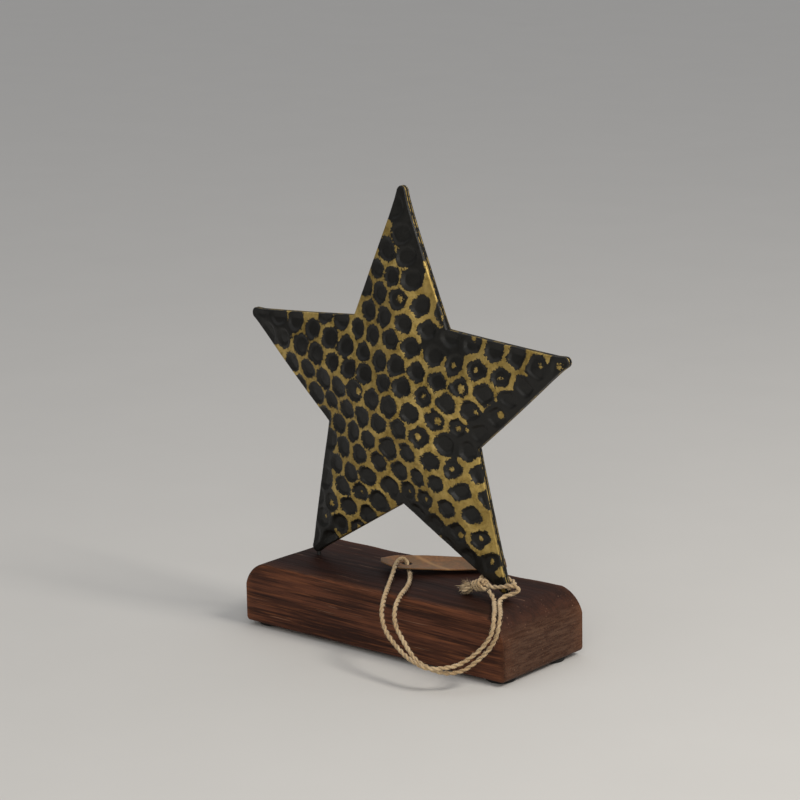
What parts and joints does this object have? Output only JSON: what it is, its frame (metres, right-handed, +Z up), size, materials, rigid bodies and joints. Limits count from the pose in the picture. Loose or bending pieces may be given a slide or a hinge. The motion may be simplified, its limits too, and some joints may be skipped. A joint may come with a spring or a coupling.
{
  "type": "star trophy",
  "caption": "Honeycomb-textured hollow metal star on a dark wooden block, with a paper tag on a loop of jute string tied round one leg.",
  "frame": {"origin": "middle of the resting face: bottom centre of the block's pads, on the surface that it stands on", "axes": "+Z up, +X along the block's length, towards the leg with the string, -Y towards the front"},
  "size_m": [0.1784, 0.0939, 0.202],
  "materials": {
    "stained_wood": "dark walnut stain under worn satin wax",
    "pad_rubber": "matte",
    "patinated_iron": "black enamel in the hollows, dry-brushed antique gold on the raised ridges",
    "pin_steel": "drawn wire",
    "kraft_card": "matte kraft",
    "jute": "two-ply natural jute, hairy"
  },
  "bodies": {
    "root": {"wood_block": "stained_wood", "pad_front_left": "pad_rubber", "pad_front_right": "pad_rubber", "pad_rear_left": "pad_rubber", "pad_rear_right": "pad_rubber", "star_front_shell": "patinated_iron", "star_back_shell": "patinated_iron", "left_leg_pin": "pin_steel", "right_leg_pin": "pin_steel", "paper_tag": "kraft_card", "twine_loop": "jute", "twine_leg_wrap": "jute", "twine_knot": "jute", "twine_frayed_ends": "jute"}
  },
  "joints": []
}
